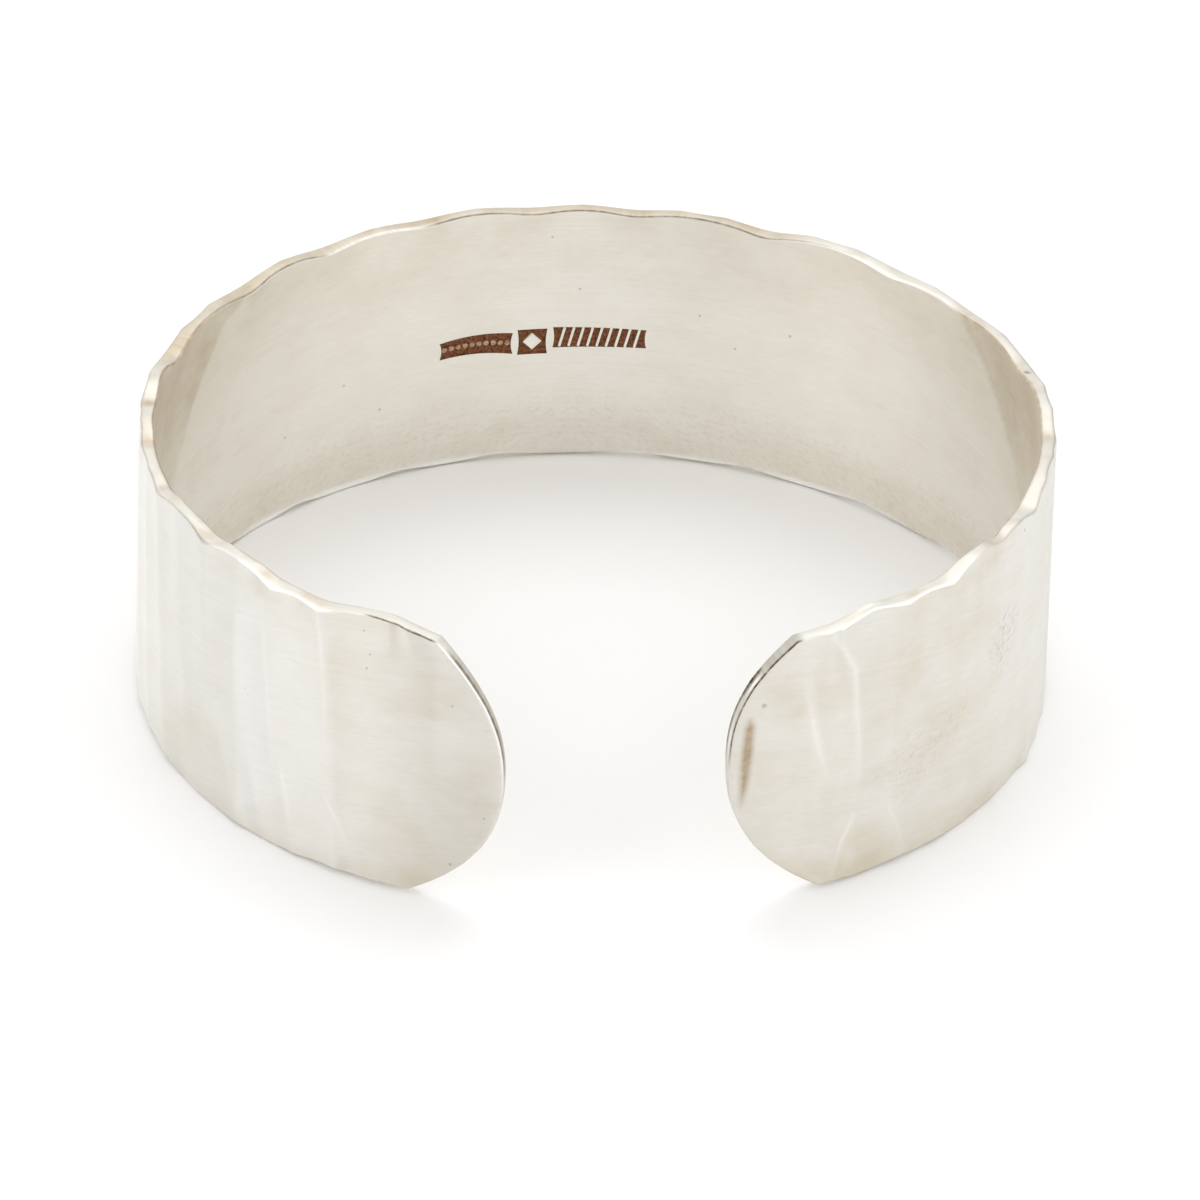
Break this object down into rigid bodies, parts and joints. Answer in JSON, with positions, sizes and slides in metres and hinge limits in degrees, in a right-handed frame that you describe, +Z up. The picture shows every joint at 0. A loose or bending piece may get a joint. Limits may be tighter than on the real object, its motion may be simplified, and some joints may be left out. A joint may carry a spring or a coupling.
{
  "type": "cuff bracelet",
  "caption": "Open oval cuff bracelet: one hammered strip of satin silver with softly scalloped edges and rounded tips.",
  "frame": {"origin": "middle of the cuff's bounding box, on the surface that the cuff lies on", "axes": "+Z up across the band's width, -Y out through the opening between the tips, +X to the right as seen from the opening"},
  "size_m": [0.0606, 0.0556, 0.0203],
  "materials": {
    "silver": "hand-hammered satin silver with light tarnish in the nicks of its edges"
  },
  "bodies": {
    "root": {"cuff": "silver"}
  },
  "joints": []
}
